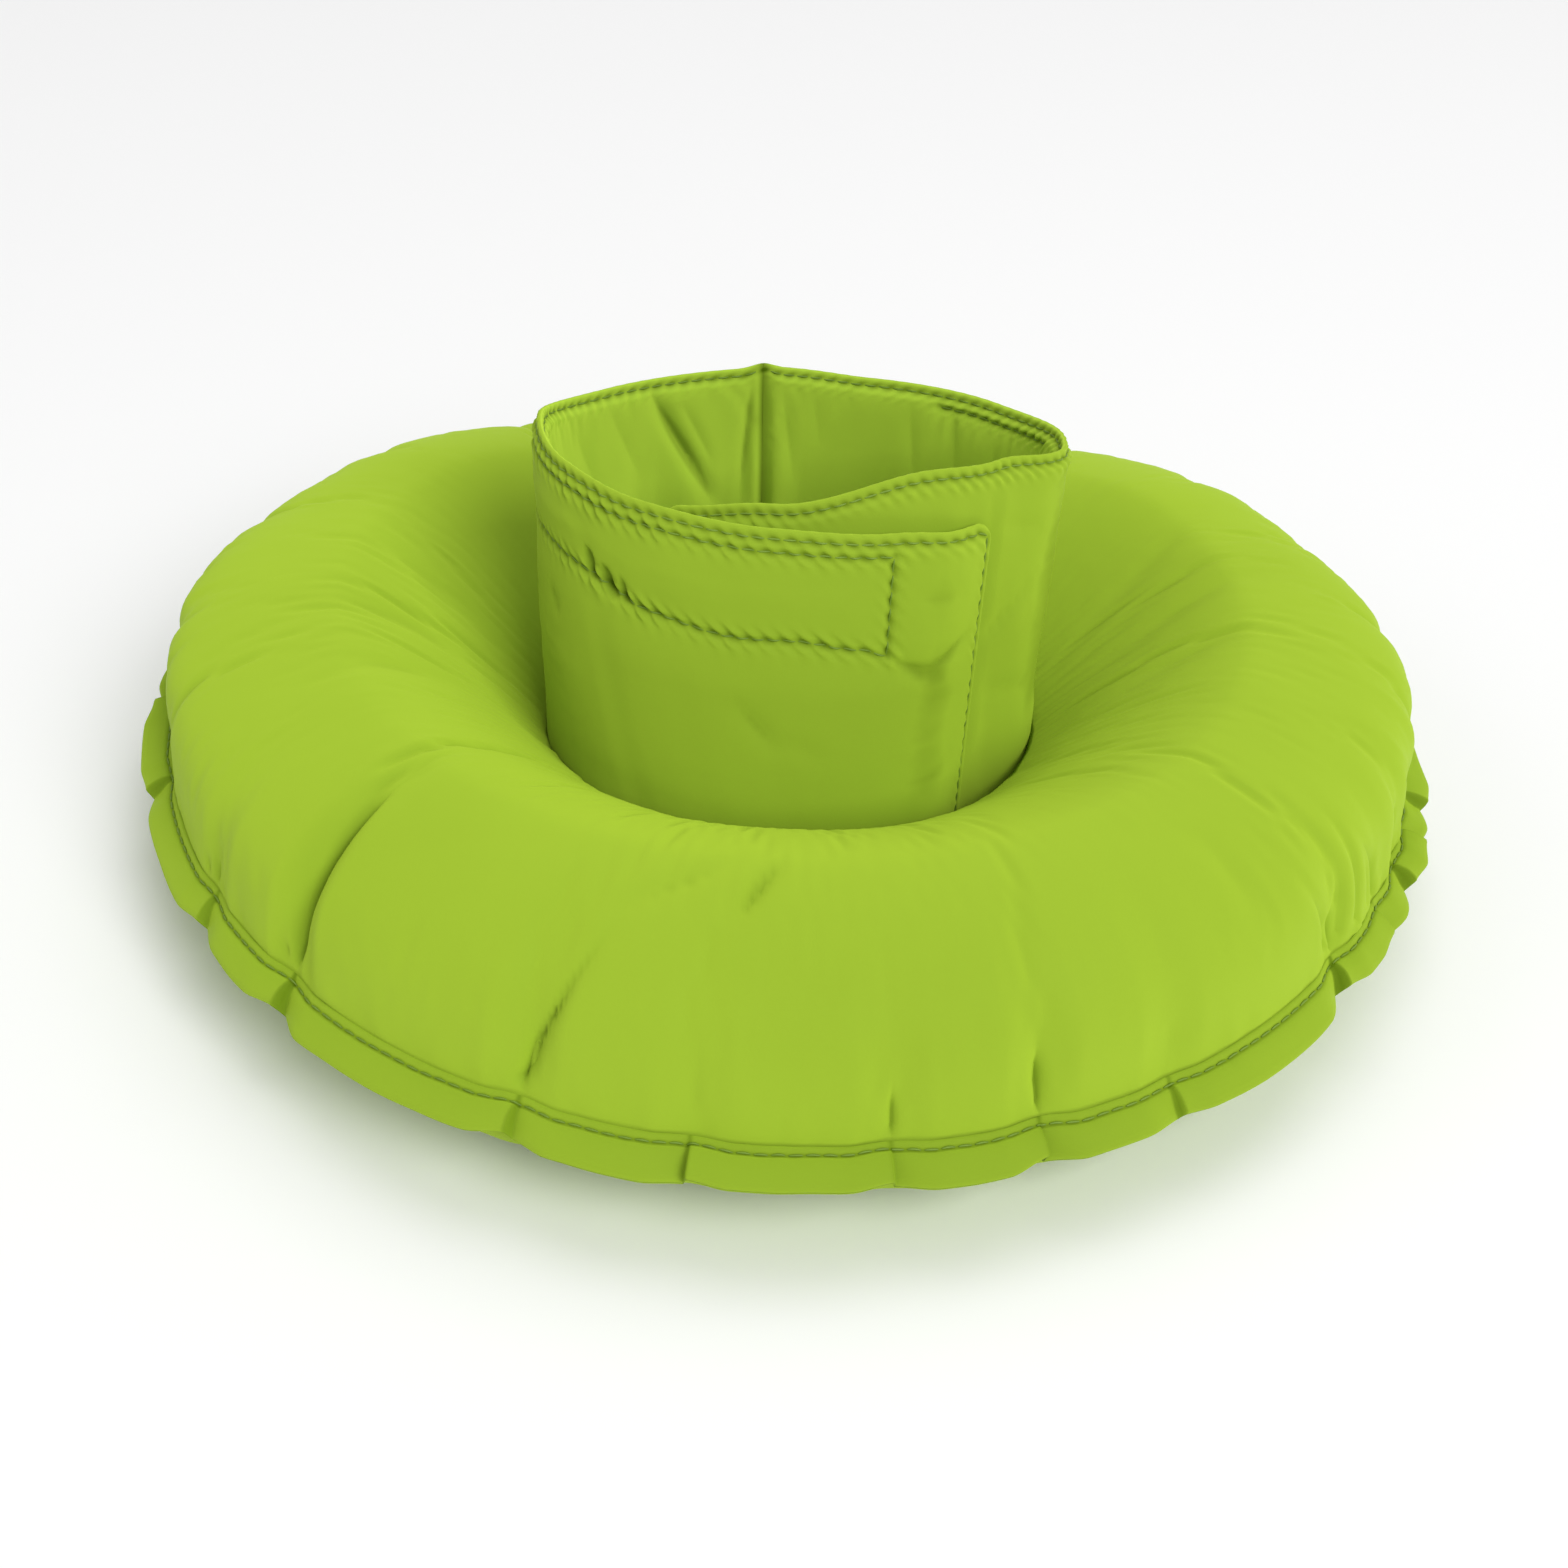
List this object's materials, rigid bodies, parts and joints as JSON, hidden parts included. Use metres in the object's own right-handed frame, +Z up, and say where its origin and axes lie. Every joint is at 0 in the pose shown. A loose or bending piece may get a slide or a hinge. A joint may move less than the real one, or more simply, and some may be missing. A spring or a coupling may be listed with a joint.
{
  "type": "inflatable recovery collar",
  "caption": "Air-filled fabric ring cushion with a tucked edge flange and a padded neck sleeve that wraps over itself and closes with hook-and-loop tape.",
  "frame": {"origin": "centre of the collar's outline on the plane that the ring rests on", "axes": "+Z up along the neck sleeve, -Y to the front where the sleeve's flap closes, +X to the wearer's left when seen from the front"},
  "size_m": [0.2511, 0.2485, 0.0903],
  "materials": {
    "ring_fabric": "soft satin sheen",
    "sleeve_fabric": "soft satin sheen",
    "hook_tape": "matte",
    "loop_tape": "matte"
  },
  "bodies": {
    "root": {"ring_top_panel": "ring_fabric", "ring_bottom_panel": "ring_fabric", "sleeve_left_panel": "sleeve_fabric", "sleeve_right_panel": "sleeve_fabric", "hook_tape": "hook_tape", "loop_tape": "loop_tape"}
  },
  "joints": []
}
